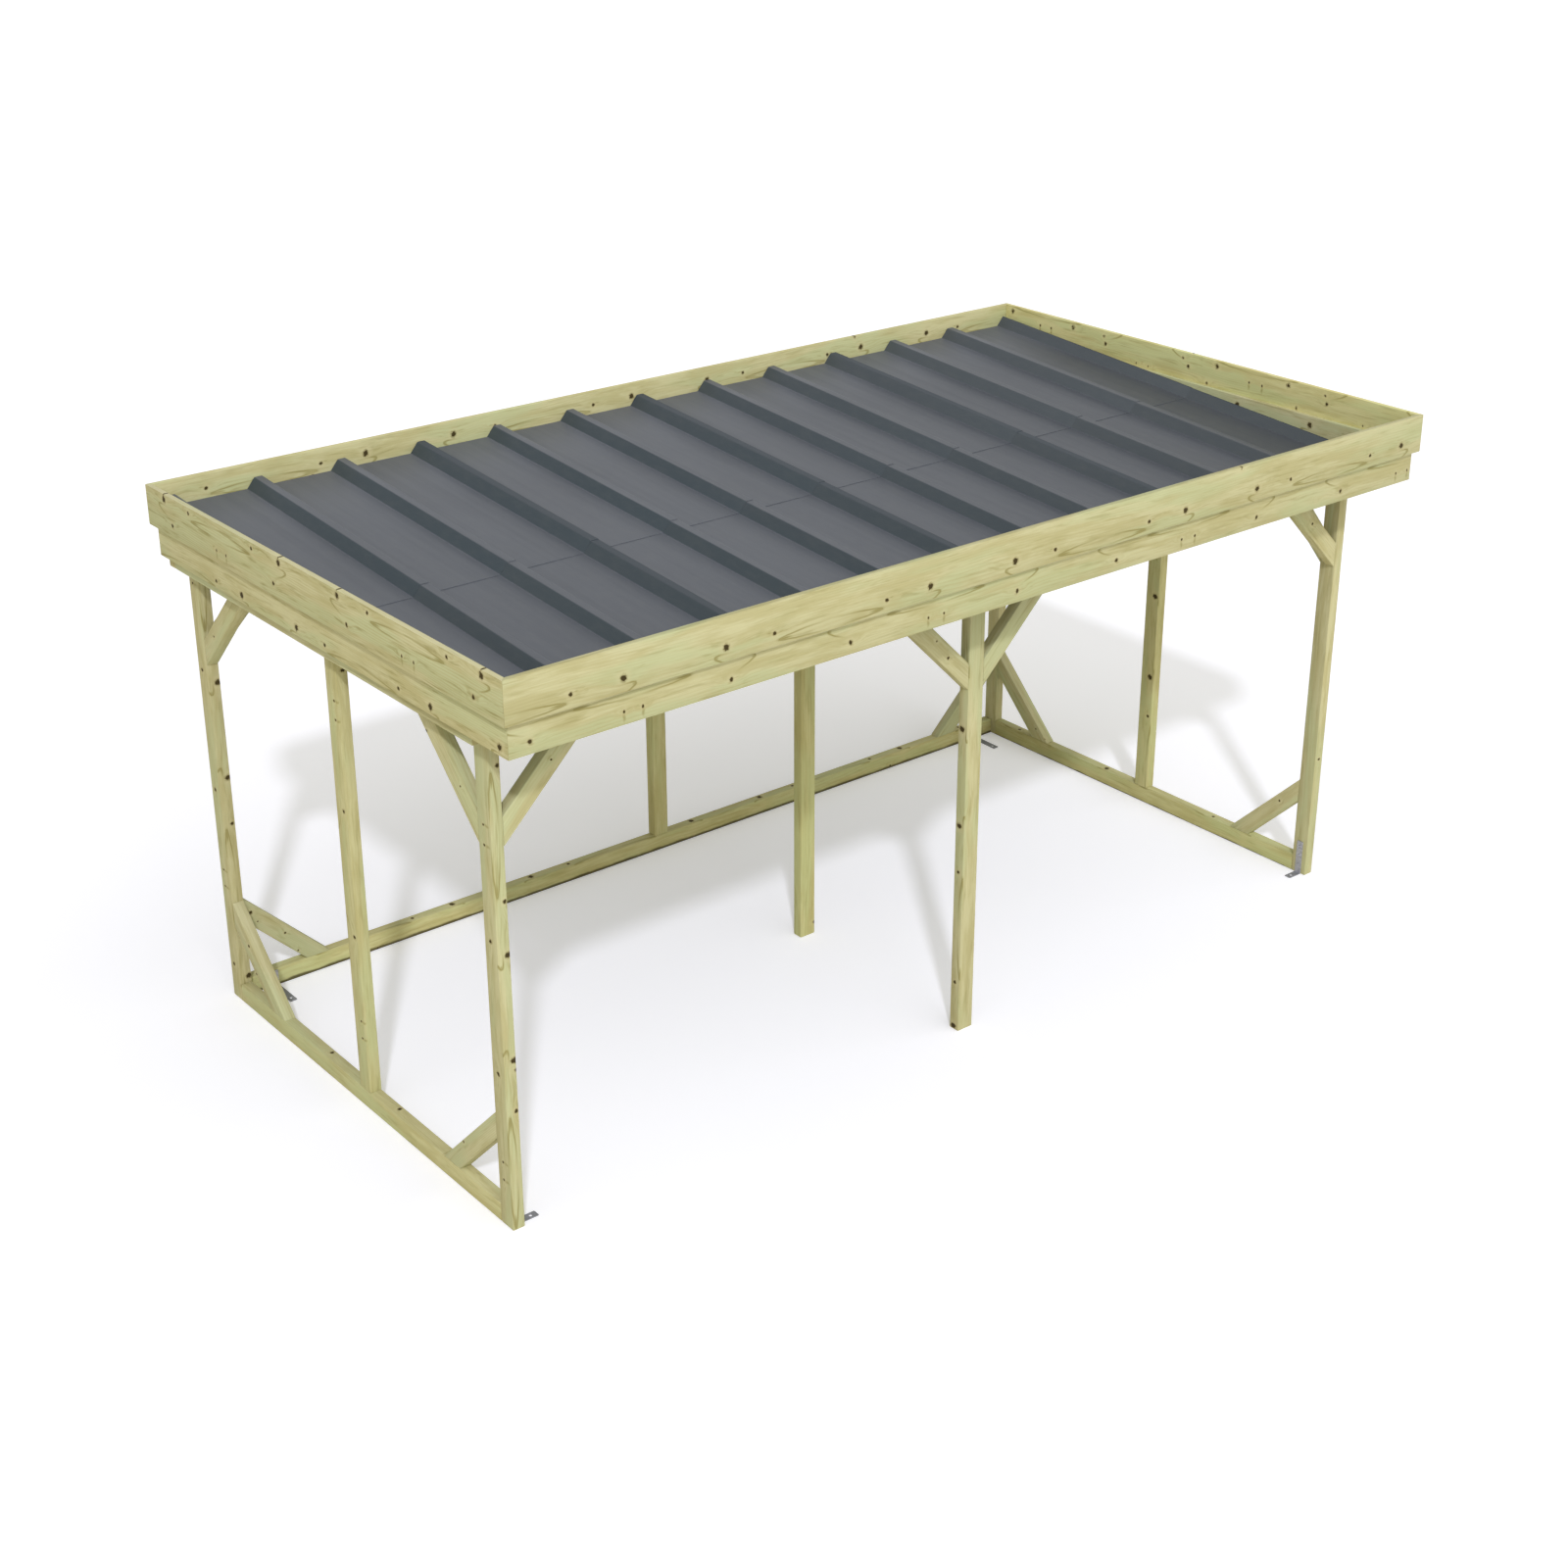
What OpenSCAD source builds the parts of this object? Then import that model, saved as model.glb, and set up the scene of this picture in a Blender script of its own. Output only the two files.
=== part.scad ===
// Open-frame firewood shelter with a lean-to sheet roof behind boarded eaves.
// Origin at the middle of the footprint on the ground. +X along the length,
// +Y to the back, +Z up. The open front looks along -Y. Sizes in millimetres.

/* [Frame] */
// Length of the post frame over the outer posts
frame_w = 3940; // [3200:10:4600]
// Depth of the post frame, from the front posts' face to the back posts' face
frame_d = 1932; // [1500:1:2400]
// Narrow side of the sawn timber
timber_t = 45; // [36:1:50]
// Wide side of the sawn timber
timber_w = 70; // [60:1:75]
// Underside of the top plates, where the outer posts end
plate_z = 1708; // [1500:1:1720]
// From the front posts' face to the middle of the middle row
middle_row = 933; // [800:1:1100]
// Height of the beam that carries the back of the roof
back_beam_h = 140; // [120:1:145]

/* [Braces] */
// Leg of each corner brace, along its outer edge
brace_leg = 345; // [250:1:400]

/* [Eaves] */
// Thickness of the eaves boards
board_t = 20; // [16:1:22]
// Height of the eaves boards
board_h = 145; // [120:1:150]
// How far the lower eaves boards reach down over the rails
rail_cover = 21; // [12:1:30]
// How far the upper eaves boards reach down over the lower ones
board_lap = 32; // [20:1:50]
// From the front posts' face to the face of the upper front board
front_overhang = 248; // [150:1:260]
// Height of the rails that carry the side and back boards
rail_h = 60; // [45:1:70]
// Thickness of the rails that carry the side and back boards
rail_t = 45; // [36:1:50]

/* [Roof] */
// Thickness of the roof sheet, measured upright
sheet_t = 0.7; // [0.6:0.1:1]
// Height of a roof rib over the flat of the sheet
rib_h = 39; // [30:1:40]
// Distance from rib to rib
rib_pitch = 333.33; // [330:0.01:335]
// Width of a rib along its foot
rib_foot = 90; // [70:1:100]
// Width of a rib along its crest
rib_crest = 30; // [20:1:40]
// From the left posts' outer face to the middle of the first rib
first_rib = -4.6; // [-8:0.1:0]
// How far a sheet's side edge reaches down the far side of the rib that it laps
lap_cover = 12; // [8:1:15]
// Overlap of the back sheets over the front ones, at the middle row
end_lap = 166; // [120:2:200]

/* [Ground brackets] */
// Long leg of the angle brackets
bracket_long = 146; // [120:1:150]
// Short leg of the angle brackets
bracket_short = 67; // [50:1:68]
// Width of the angle brackets
bracket_w = 30; // [25:1:40]
// Thickness of the angle brackets
bracket_t = 3; // [2:0.5:4]
// Diameter of the ground bolt hole in each bracket's foot
bolt_hole_d = 11; // [8:0.5:13]
// From the end of a bracket's foot to the middle of its hole
bolt_hole_end = 24; // [18:1:30]
// From the outer posts' outer face to the middle of a back bracket
back_bracket_x = 150; // [120:1:200]

/* [Fits] */
// Gap between the roof sheets and what they lie on or lap
sheet_gap = 0.3; // [0.2:0.1:0.5]
// Gap between the roof sheets' edges and the eaves boards
edge_gap = 1; // [0.5:0.5:3]

/* [Hidden] */
$fn = 48;
rise = timber_w;
side_overhang = rail_t + 2 * board_t;
total_w = frame_w + 2 * side_overhang;
total_d = front_overhang + frame_d + side_overhang;
left_x = -frame_w / 2;
front_y = -total_d / 2 + front_overhang;
back_y = front_y + frame_d;
middle_y = front_y + middle_row;
sill_h = timber_w;
plate_top = plate_z + timber_w;
middle_beam_y = middle_y - timber_t / 2;
middle_beam_top = plate_top + rise;
back_beam_y = back_y - timber_t;
roof_slope = back_beam_h / (back_beam_y - front_y);
roof_pitch = atan(roof_slope);
rail_z = plate_top - rail_h;
lower_z = plate_top - rail_cover;
upper_z = lower_z + board_h - board_lap;
lap_lift = sheet_t + sheet_gap;
sheet_front_y = -total_d / 2 + 2 * board_t + edge_gap
    + (rib_h + sheet_t + lap_lift) * sin(roof_pitch);
sheet_back_y = back_y + rail_t + board_t - edge_gap;
sheet_left_x = left_x - rail_t + edge_gap;
sheet_right_x = -sheet_left_x;
first_rib_x = left_x + first_rib;
sheets_across = 4;
sheet_ribs = 3;
rib_count = sheets_across * sheet_ribs;
pine = [0.78, 0.76, 0.56];
pine_shade = [0.72, 0.70, 0.50];
steel_grey = [0.41, 0.42, 0.44];
zinc = [0.60, 0.61, 0.62];

// A timber or board as a plain block from one corner to the other.
module block(from, to)
    translate(from)
        cube(to - from);

// The right-hand twin of a left-hand piece.
module right_side()
    mirror([1, 0, 0])
        children();

// Post of a side row, wide side along the depth, standing at y from the front.
module side_post(y, bottom)
    color(pine)
        block([left_x, y, bottom], [left_x + timber_t, y + timber_w, plate_z]);

// Post of the middle row, wide side along the length.
module middle_post(y, bottom, top)
    color(pine)
        block([-timber_w / 2, y, bottom], [timber_w / 2, y + timber_t, top]);

module post_front_left() side_post(front_y, 0);
module post_middle_left() side_post(middle_y - timber_w / 2, sill_h);
module post_back_left() side_post(back_y - timber_w, 0);
module post_front_right() right_side() post_front_left();
module post_middle_right() right_side() post_middle_left();
module post_back_right() right_side() post_back_left();
module post_front_middle() middle_post(front_y, 0, plate_z);
module post_centre() middle_post(middle_beam_y, 0, plate_top);
module post_back_middle() middle_post(back_beam_y, sill_h, plate_z);

module sill_left()
    color(pine)
        block([left_x, front_y + timber_w, 0],
              [left_x + timber_t, back_y - timber_w, sill_h]);

module sill_right() right_side() sill_left();

module sill_back()
    color(pine)
        block([left_x + timber_t, back_beam_y, 0],
              [-left_x - timber_t, back_y, sill_h]);

module top_plate_left()
    color(pine)
        block([left_x, front_y, plate_z], [left_x + timber_t, back_y, plate_top]);

module top_plate_right() right_side() top_plate_left();

// Timber between the side plates, across the whole frame.
module cross_plate(y)
    color(pine)
        block([left_x + timber_t, y, plate_z], [-left_x - timber_t, y + timber_t, plate_top]);

module front_beam() cross_plate(front_y);
module top_plate_back() cross_plate(back_beam_y);

// Beam lying on the side plates, over the whole length of the frame.
module roof_beam(y, height)
    color(pine)
        block([left_x, y, plate_top], [-left_x, y + timber_t, plate_top + height]);

module middle_beam() roof_beam(middle_beam_y, rise);
module back_beam() roof_beam(back_beam_y, back_beam_h);

module rail_left()
    color(pine_shade)
        block([left_x - rail_t, front_y, rail_z], [left_x, back_y, plate_top]);

module rail_right() right_side() rail_left();

module rail_back()
    color(pine_shade)
        block([left_x - rail_t, back_y, rail_z], [-left_x + rail_t, back_y + rail_t, plate_top]);

// Brace across an inner corner at the origin, legs along +X and +Y, lying on
// the plane Z = 0 and one timber thick. Its ends are cut to fit the corner.
module corner_brace() {
    inner_leg = brace_leg - timber_w * sqrt(2);
    linear_extrude(timber_t)
        polygon([[brace_leg, 0], [0, brace_leg], [0, inner_leg], [inner_leg, 0]]);
}

// Brace in a side frame. At the back post it is turned to face the front.
module side_brace(y, towards, upright)
    color(pine)
        translate([left_x, y, upright > 0 ? sill_h : plate_z])
            mirror([0, towards < 0 ? 1 : 0, 0])
                mirror([0, 0, upright < 0 ? 1 : 0])
                rotate([90, 0, 90])
                    corner_brace();

// Brace in a cross frame, starting at x and pointing along towards.
module cross_brace(x, y, towards, upright)
    color(pine)
        translate([x, y + timber_t, upright > 0 ? sill_h : plate_z])
            mirror([towards < 0 ? 1 : 0, 0, 0])
                mirror([0, 0, upright < 0 ? 1 : 0])
                rotate([90, 0, 0])
                    corner_brace();

module braces_lower_left() {
    side_brace(front_y + timber_w, 1, 1);
    side_brace(back_y - timber_w, -1, 1);
}

module braces_upper_left() {
    side_brace(front_y + timber_w, 1, -1);
    side_brace(back_y - timber_w, -1, -1);
}

module braces_lower_right() right_side() braces_lower_left();
module braces_upper_right() right_side() braces_upper_left();

module braces_lower_back() {
    cross_brace(left_x + timber_t, back_beam_y, 1, 1);
    cross_brace(-left_x - timber_t, back_beam_y, -1, 1);
}

// The four braces under a cross plate: one at each end, two at the middle post.
module cross_braces_upper(y) {
    cross_brace(left_x + timber_t, y, 1, -1);
    cross_brace(-timber_w / 2, y, -1, -1);
    cross_brace(timber_w / 2, y, 1, -1);
    cross_brace(-left_x - timber_t, y, -1, -1);
}

module braces_upper_front() cross_braces_upper(front_y);
module braces_upper_back() cross_braces_upper(back_beam_y);

// Eaves board along X with mitred ends. inset is its step in from the outline.
module long_board(inset, bottom) {
    x = total_w / 2 - inset;
    y = total_d / 2 - inset;
    color(pine)
        translate([0, 0, bottom])
            linear_extrude(board_h)
                polygon([[-x, -y], [x, -y], [x - board_t, -y + board_t], [-x + board_t, -y + board_t]]);
}

// Eaves board along Y on the left, with mitred ends.
module short_board(inset, bottom) {
    x = total_w / 2 - inset;
    y = total_d / 2 - inset;
    color(pine)
        translate([0, 0, bottom])
            linear_extrude(board_h)
                polygon([[-x, y], [-x, -y], [-x + board_t, -y + board_t], [-x + board_t, y - board_t]]);
}

module eaves_upper_front() long_board(0, upper_z);
module eaves_upper_back() mirror([0, 1, 0]) long_board(0, upper_z);
module eaves_upper_left() short_board(0, upper_z);
module eaves_upper_right() right_side() short_board(0, upper_z);
module eaves_lower_front() long_board(board_t, lower_z);
module eaves_lower_back() mirror([0, 1, 0]) long_board(board_t, lower_z);
module eaves_lower_left() short_board(board_t, lower_z);
module eaves_lower_right() right_side() short_board(board_t, lower_z);

// Height of the sheet's underside over its flat, at x from the first rib.
function rib_height(x) =
    let (d = abs(x - rib_pitch * round(x / rib_pitch)))
    max(0, min(rib_h, rib_h * (rib_foot / 2 - d) / ((rib_foot - rib_crest) / 2)));

// Underside of a sheet. Past x = lapping it rides over its neighbour's first rib.
function sheet_line(from, to, lapping) =
    let (steps = [-rib_foot / 2, -rib_crest / 2, rib_crest / 2, rib_foot / 2])
    let (corners = [for (k = [0 : rib_count], s = steps) k * rib_pitch + s])
    let (inner = [for (x = corners) if (x > from && x < to) x])
    [for (x = concat([from], inner, [to])) [x, rib_height(x) + (x > lapping ? lap_lift : 0)]];

// Cross-section of one sheet, with its full thickness.
module sheet_section(from, to, lapping) {
    low = sheet_line(from, to, lapping);
    high = [for (i = [len(low) - 1 : -1 : 0]) low[i] + [0, sheet_t]];
    polygon(concat(low, high));
}

// Height of the front sheets' underside over the ground, at y.
function roof_z(y) = middle_beam_top + sheet_gap + roof_slope * (y - middle_beam_y);

// One sheet of a column, laid on the slope from front to back.
module roof_sheet(column, front, back, raised) {
    first = column * sheet_ribs * rib_pitch;
    last = first + sheet_ribs * rib_pitch;
    end_column = column == sheets_across - 1;
    from = column == 0 ? sheet_left_x - first_rib_x : first - rib_crest / 2 + edge_gap;
    to = end_column ? sheet_right_x - first_rib_x : last + rib_crest / 2 + lap_cover;
    length = (back - front) / cos(roof_pitch);
    color(steel_grey)
        translate([first_rib_x, front, roof_z(front) + raised])
            rotate([90 + roof_pitch, 0, 0])
                translate([0, 0, -length])
                    linear_extrude(length)
                        sheet_section(from, to, end_column ? to : last - rib_foot / 2);
}

// The two sheets of a column. The back one lies over the front one's lapped ribs.
module roof_column(column) {
    roof_sheet(column, sheet_front_y, middle_y + end_lap / 2, 0);
    roof_sheet(column, middle_y - end_lap / 2, sheet_back_y, 2 * lap_lift);
}

module roof_sheets_1() roof_column(0);
module roof_sheets_2() roof_column(1);
module roof_sheets_3() roof_column(2);
module roof_sheets_4() roof_column(3);

// Angle bracket at the origin, upright leg against X = 0, foot along +X.
module bracket(upright, foot)
    color(zinc)
        difference() {
            union() {
                translate([0, -bracket_w / 2, 0])
                    cube([foot, bracket_w, bracket_t]);
                translate([0, -bracket_w / 2, 0])
                    cube([bracket_t, bracket_w, upright]);
            }
            translate([foot - bolt_hole_end, 0, -1])
                cylinder(h = bracket_t + 2, d = bolt_hole_d);
        }

module bracket_front_left()
    translate([left_x + timber_t, front_y + timber_w / 2, 0])
        bracket(bracket_long, bracket_short);

module bracket_front_right() right_side() bracket_front_left();

module bracket_back_left()
    translate([left_x + back_bracket_x, back_beam_y, 0])
        rotate([0, 0, -90])
            bracket(bracket_short, bracket_long);

module bracket_back_right() right_side() bracket_back_left();

post_front_left();
post_front_middle();
post_front_right();
post_middle_left();
post_centre();
post_middle_right();
post_back_left();
post_back_middle();
post_back_right();
sill_left();
sill_right();
sill_back();
top_plate_left();
top_plate_right();
top_plate_back();
front_beam();
middle_beam();
back_beam();
rail_left();
rail_right();
rail_back();
braces_lower_left();
braces_lower_right();
braces_lower_back();
braces_upper_left();
braces_upper_right();
braces_upper_back();
braces_upper_front();
eaves_upper_front();
eaves_upper_back();
eaves_upper_left();
eaves_upper_right();
eaves_lower_front();
eaves_lower_back();
eaves_lower_left();
eaves_lower_right();
roof_sheets_1();
roof_sheets_2();
roof_sheets_3();
roof_sheets_4();
bracket_front_left();
bracket_front_right();
bracket_back_left();
bracket_back_right();
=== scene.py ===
import math
import random

import bpy
from mathutils import Matrix, Vector


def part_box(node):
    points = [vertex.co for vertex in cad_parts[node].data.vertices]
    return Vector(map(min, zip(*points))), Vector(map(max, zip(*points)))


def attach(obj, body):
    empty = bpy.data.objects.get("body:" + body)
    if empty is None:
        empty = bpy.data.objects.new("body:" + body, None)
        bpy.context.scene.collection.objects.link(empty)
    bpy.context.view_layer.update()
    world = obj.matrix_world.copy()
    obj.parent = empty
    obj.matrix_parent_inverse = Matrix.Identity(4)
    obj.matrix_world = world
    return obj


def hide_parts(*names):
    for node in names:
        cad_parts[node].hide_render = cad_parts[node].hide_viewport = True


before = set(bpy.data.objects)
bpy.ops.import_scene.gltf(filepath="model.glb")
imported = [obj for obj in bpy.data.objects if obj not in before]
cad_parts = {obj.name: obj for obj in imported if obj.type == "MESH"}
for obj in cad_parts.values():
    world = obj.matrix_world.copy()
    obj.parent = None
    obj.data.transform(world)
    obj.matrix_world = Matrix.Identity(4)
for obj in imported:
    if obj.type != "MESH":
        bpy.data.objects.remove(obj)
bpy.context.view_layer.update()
print("frame loaded:", len(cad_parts), "nodes")


def tone(red, green, blue):
    # screen colour, 0 to 255, as the linear colour that a shader takes
    def linear(value):
        value = value / 255
        return value / 12.92 if value <= 0.04045 else ((value + 0.055) / 1.055) ** 2.4
    return (linear(red), linear(green), linear(blue), 1.0)


def pickNone():
    if bpy.context.object and bpy.context.object.mode != "OBJECT":
        bpy.ops.object.mode_set(mode="OBJECT")
    bpy.ops.object.select_all(action="DESELECT")


def pickOnly(piece):
    pickNone()
    piece.select_set(True)
    bpy.context.view_layer.objects.active = piece


def applyPlace(piece):
    # a finished piece sits at the origin, with its place in its mesh
    pickOnly(piece)
    bpy.ops.object.transform_apply(location=True, rotation=True, scale=True)


def selectPoints(piece, chosen):
    # selects the points for which the test holds, and the edges between them
    mesh = piece.data
    picked = [chosen(vertex.co) for vertex in mesh.vertices]
    mesh.polygons.foreach_set("select", [False] * len(mesh.polygons))
    mesh.vertices.foreach_set("select", picked)
    mesh.edges.foreach_set("select", [all(picked[i] for i in edge.vertices) for edge in mesh.edges])


def editMesh(*steps):
    # each step is an operator with its arguments, run in edit mode
    bpy.ops.object.mode_set(mode="EDIT")
    for operator, arguments in steps:
        operator(**arguments)
    bpy.ops.object.mode_set(mode="OBJECT")


def applyModifier(piece, kind, **values):
    modifier = piece.modifiers.new(kind.lower(), kind)
    for name, value in values.items():
        setattr(modifier, name, value)
    bpy.ops.object.modifier_apply(modifier=modifier.name)


def bevelFolds(piece, width, steps, angle):
    applyModifier(piece, "BEVEL", width=width, segments=steps, limit_method="ANGLE",
                  angle_limit=math.radians(angle))


def wire(tree, source, target):
    # a socket, a plain number or a tuple goes into a socket
    if isinstance(source, bpy.types.NodeSocket):
        tree.links.new(source, target)
    else:
        target.default_value = source


def maths(tree, operation, first, second=0.0, third=None, clamp=False):
    node = tree.nodes.new("ShaderNodeMath")
    node.operation = operation
    node.use_clamp = clamp
    wire(tree, first, node.inputs[0])
    wire(tree, second, node.inputs[1])
    if third is not None:
        wire(tree, third, node.inputs[2])
    return node.outputs[0]


def vectorMaths(tree, operation, first, second=(0, 0, 0)):
    node = tree.nodes.new("ShaderNodeVectorMath")
    node.operation = operation
    wire(tree, first, node.inputs[0])
    wire(tree, second, node.inputs[1])
    return node.outputs["Value"] if operation in ("LENGTH", "DOT_PRODUCT") else node.outputs["Vector"]


def noise(tree, vector, stretch, detail=2.0, colour=False, roughness=0.5):
    node = tree.nodes.new("ShaderNodeTexNoise")
    wire(tree, vectorMaths(tree, "MULTIPLY", vector, stretch), node.inputs["Vector"])
    node.inputs["Scale"].default_value = 1.0
    node.inputs["Detail"].default_value = detail
    node.inputs["Roughness"].default_value = roughness
    return node.outputs["Color" if colour else "Fac"]


def spread(tree, value, low, high, start=0.0, end=1.0, smooth=False):
    node = tree.nodes.new("ShaderNodeMapRange")
    node.interpolation_type = "SMOOTHSTEP" if smooth else "LINEAR"
    wire(tree, value, node.inputs["Value"])
    for label, number in (("From Min", low), ("From Max", high), ("To Min", start), ("To Max", end)):
        wire(tree, number, node.inputs[label])
    return node.outputs["Result"]


def blendColour(tree, share, first, second, kind="MIX"):
    node = tree.nodes.new("ShaderNodeMix")
    node.data_type = "RGBA"
    node.blend_type = kind
    node.clamp_factor = True
    wire(tree, share, node.inputs[0])
    wire(tree, first, node.inputs[6])
    wire(tree, second, node.inputs[7])
    return node.outputs[2]


def splitVector(tree, vector):
    node = tree.nodes.new("ShaderNodeSeparateXYZ")
    wire(tree, vector, node.inputs[0])
    return node.outputs


def joinVector(tree, x, y, z):
    node = tree.nodes.new("ShaderNodeCombineXYZ")
    for socket, value in zip(node.inputs, (x, y, z)):
        wire(tree, value, socket)
    return node.outputs[0]


# camera, lamps, world and floor
cameraPlan = {
    "place": (-5.230, -6.315, 4.545),
    "turn": -39.222,
    "tilt": 23.494,
    "lens": 54.20,
    "shift": (-0.008375, -0.04706),
}
sunColour = (0.985, 0.995, 1.09)
lampPlan = {
    # place, turn, tilt from upright, strength, softness, colour; the sun goes from the
    # front left to the back right
    "mainLamp": ((-4, -5, 8), 35.0, 41.5, 1.26, 3.2, sunColour),
    "glowLamp": ((-5, -4, 8), 35.0, 41.5, 0.65, 85.0, sunColour),           # the bright sky around the sun
    "fillLamp": ((5, -6, 7), -25.0, 32.0, 0.82, 80.0, (1.0, 1.0, 0.96)),    # from the front right
}
skyPlan = {"strength": 0.43, "colour": (1.0, 0.98, 0.86)}
floorPlan = {
    "size": 160.0,
    "bounce": (0.88, 0.85, 0.73),   # what the shelter gets back from it
    "shown": (1.16, 1.163, 1.235),
    "white": 1.02,
    "glow": 0.25,                   # how much of the floor's white doesn't depend on the lamps
}


def addCamera(plan):
    pickNone()
    tilt = math.radians(90 - plan["tilt"])
    bpy.ops.object.camera_add(location=plan["place"], rotation=(tilt, 0, math.radians(plan["turn"])))
    camera = bpy.context.object
    camera.name = "viewCamera"
    camera.data.lens = plan["lens"]
    camera.data.sensor_width = 36
    camera.data.shift_x, camera.data.shift_y = plan["shift"]
    camera.data.clip_end = 400
    bpy.context.scene.camera = camera


def addLamp(name, place, turn, tilt, strength, softness, colour):
    pickNone()
    turned = (math.radians(90 - tilt), 0, math.radians(-turn))
    bpy.ops.object.light_add(type="SUN", location=place, rotation=turned)
    lamp = bpy.context.object
    lamp.name = name
    lamp.data.energy = strength
    lamp.data.angle = math.radians(softness)
    lamp.data.color = colour


def addWorld(plan):
    world = bpy.data.worlds.new("studio")
    bpy.context.scene.world = world
    world.use_nodes = True
    tree = world.node_tree
    tree.nodes.clear()
    path = tree.nodes.new("ShaderNodeLightPath").outputs
    seen = maths(tree, "MAXIMUM", path["Is Camera Ray"], path["Is Glossy Ray"])
    seen = maths(tree, "MAXIMUM", seen, path["Is Transmission Ray"])
    back = tree.nodes.new("ShaderNodeBackground")
    out = tree.nodes.new("ShaderNodeOutputWorld")
    wire(tree, spread(tree, seen, 0.0, 1.0, plan["strength"], 1.0), back.inputs["Strength"])
    wire(tree, blendColour(tree, seen, (*plan["colour"], 1), (1, 1, 1, 1)), back.inputs["Color"])
    wire(tree, back.outputs[0], out.inputs["Surface"])


def addFloor(plan):
    pickNone()
    bpy.ops.mesh.primitive_plane_add(size=plan["size"], location=(0, 0, 0))
    floor = bpy.context.object
    floor.name = "studioFloor"
    material = bpy.data.materials.new("paleFloor")
    material.use_nodes = True
    tree = material.node_tree
    tree.nodes.clear()
    seen = tree.nodes.new("ShaderNodeLightPath").outputs["Is Camera Ray"]
    matt = tree.nodes.new("ShaderNodeBsdfDiffuse")
    wire(tree, blendColour(tree, seen, (*plan["bounce"], 1), (*plan["shown"], 1)), matt.inputs["Color"])
    glow = tree.nodes.new("ShaderNodeEmission")
    glow.inputs["Color"].default_value = (1, 1, 1, 1)
    glow.inputs["Strength"].default_value = plan["white"]
    both = tree.nodes.new("ShaderNodeMixShader")
    out = tree.nodes.new("ShaderNodeOutputMaterial")
    wire(tree, maths(tree, "MULTIPLY", seen, plan["glow"]), both.inputs["Fac"])
    wire(tree, matt.outputs[0], both.inputs[1])
    wire(tree, glow.outputs[0], both.inputs[2])
    wire(tree, both.outputs[0], out.inputs["Surface"])
    floor.data.materials.append(material)


bpy.context.scene.view_settings.view_transform = "Standard"
addCamera(cameraPlan)
for name, values in lampPlan.items():
    addLamp(name, *values)
addWorld(skyPlan)
addFloor(floorPlan)
print("camera, lamps and floor set")


# shader groups that the timbers share
def newGroup(name, inputs, outputs):
    group = bpy.data.node_groups.new(name, "ShaderNodeTree")
    for label, kind, value in inputs:
        socket = group.interface.new_socket(label, in_out="INPUT", socket_type=kind)
        if value is not None:
            socket.default_value = value
    for label, kind in outputs:
        group.interface.new_socket(label, in_out="OUTPUT", socket_type=kind)
    start = group.nodes.new("NodeGroupInput")
    end = group.nodes.new("NodeGroupOutput")
    return group, start, end


def useGroup(tree, group, **values):
    node = tree.nodes.new("ShaderNodeGroup")
    node.node_tree = group
    for label, value in values.items():
        wire(tree, value, node.inputs[label])
    return node


def makeGrainGroup():
    # Position runs along the grain in X, with the pith on the X axis, in metres;
    # Bend pushes the growth rings aside around a knot
    group, start, end = newGroup(
        "pineGrain",
        [("Position", "NodeSocketVector", None), ("RingWidth", "NodeSocketFloat", 0.007),
         ("Bend", "NodeSocketFloat", 0.0)],
        [("Patch", "NodeSocketFloat"), ("Green", "NodeSocketFloat"), ("Ring", "NodeSocketFloat"),
         ("Streak", "NodeSocketFloat"), ("Fibre", "NodeSocketFloat")])
    place = start.outputs["Position"]
    push = maths(group, "MULTIPLY", start.outputs["Bend"], 0.011)
    drift = noise(group, place, (1.1, 5.0, 5.0), 2.0, colour=True)
    drift = vectorMaths(group, "SUBTRACT", drift, (0.5, 0.5, 0.5))
    place = vectorMaths(group, "ADD", place, vectorMaths(group, "MULTIPLY", drift, (0.0, 0.055, 0.055)))
    place = vectorMaths(group, "ADD", place, joinVector(group, 0.0, push, push))
    reach = vectorMaths(group, "LENGTH", vectorMaths(group, "MULTIPLY", place, (0.0, 1.0, 1.0)))
    turn = maths(group, "FRACT", maths(group, "DIVIDE", reach, start.outputs["RingWidth"]))
    # a growth ring darkens slowly, then ends sharply
    slow = spread(group, turn, 0.40, 0.88, smooth=True)
    sharp = spread(group, turn, 0.90, 1.0, 1.0, 0.0, smooth=True)
    strength = spread(group, noise(group, place, (2.1, 13.0, 13.0), 2.0), 0.30, 0.62, 0.15, 1.0)
    ring = maths(group, "MULTIPLY", maths(group, "MULTIPLY", slow, sharp), strength)
    wire(group, ring, end.inputs["Ring"])
    patch = noise(group, place, (4.2, 27.0, 27.0), 4.0, roughness=0.6)
    wire(group, spread(group, patch, 0.38, 0.62, smooth=True), end.inputs["Patch"])
    green = noise(group, vectorMaths(group, "ADD", place, (7.3, 1.9, 4.1)), (2.0, 12.0, 12.0), 2.0)
    wire(group, spread(group, green, 0.44, 0.62, smooth=True), end.inputs["Green"])
    streak = noise(group, place, (5.5, 78.0, 78.0), 3.0, roughness=0.6)
    wire(group, spread(group, streak, 0.52, 0.74, smooth=True), end.inputs["Streak"])
    fibre = noise(group, start.outputs["Position"], (9.0, 420.0, 420.0), 3.0, roughness=0.65)
    wire(group, spread(group, fibre, 0.25, 0.75), end.inputs["Fibre"])
    return group


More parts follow.
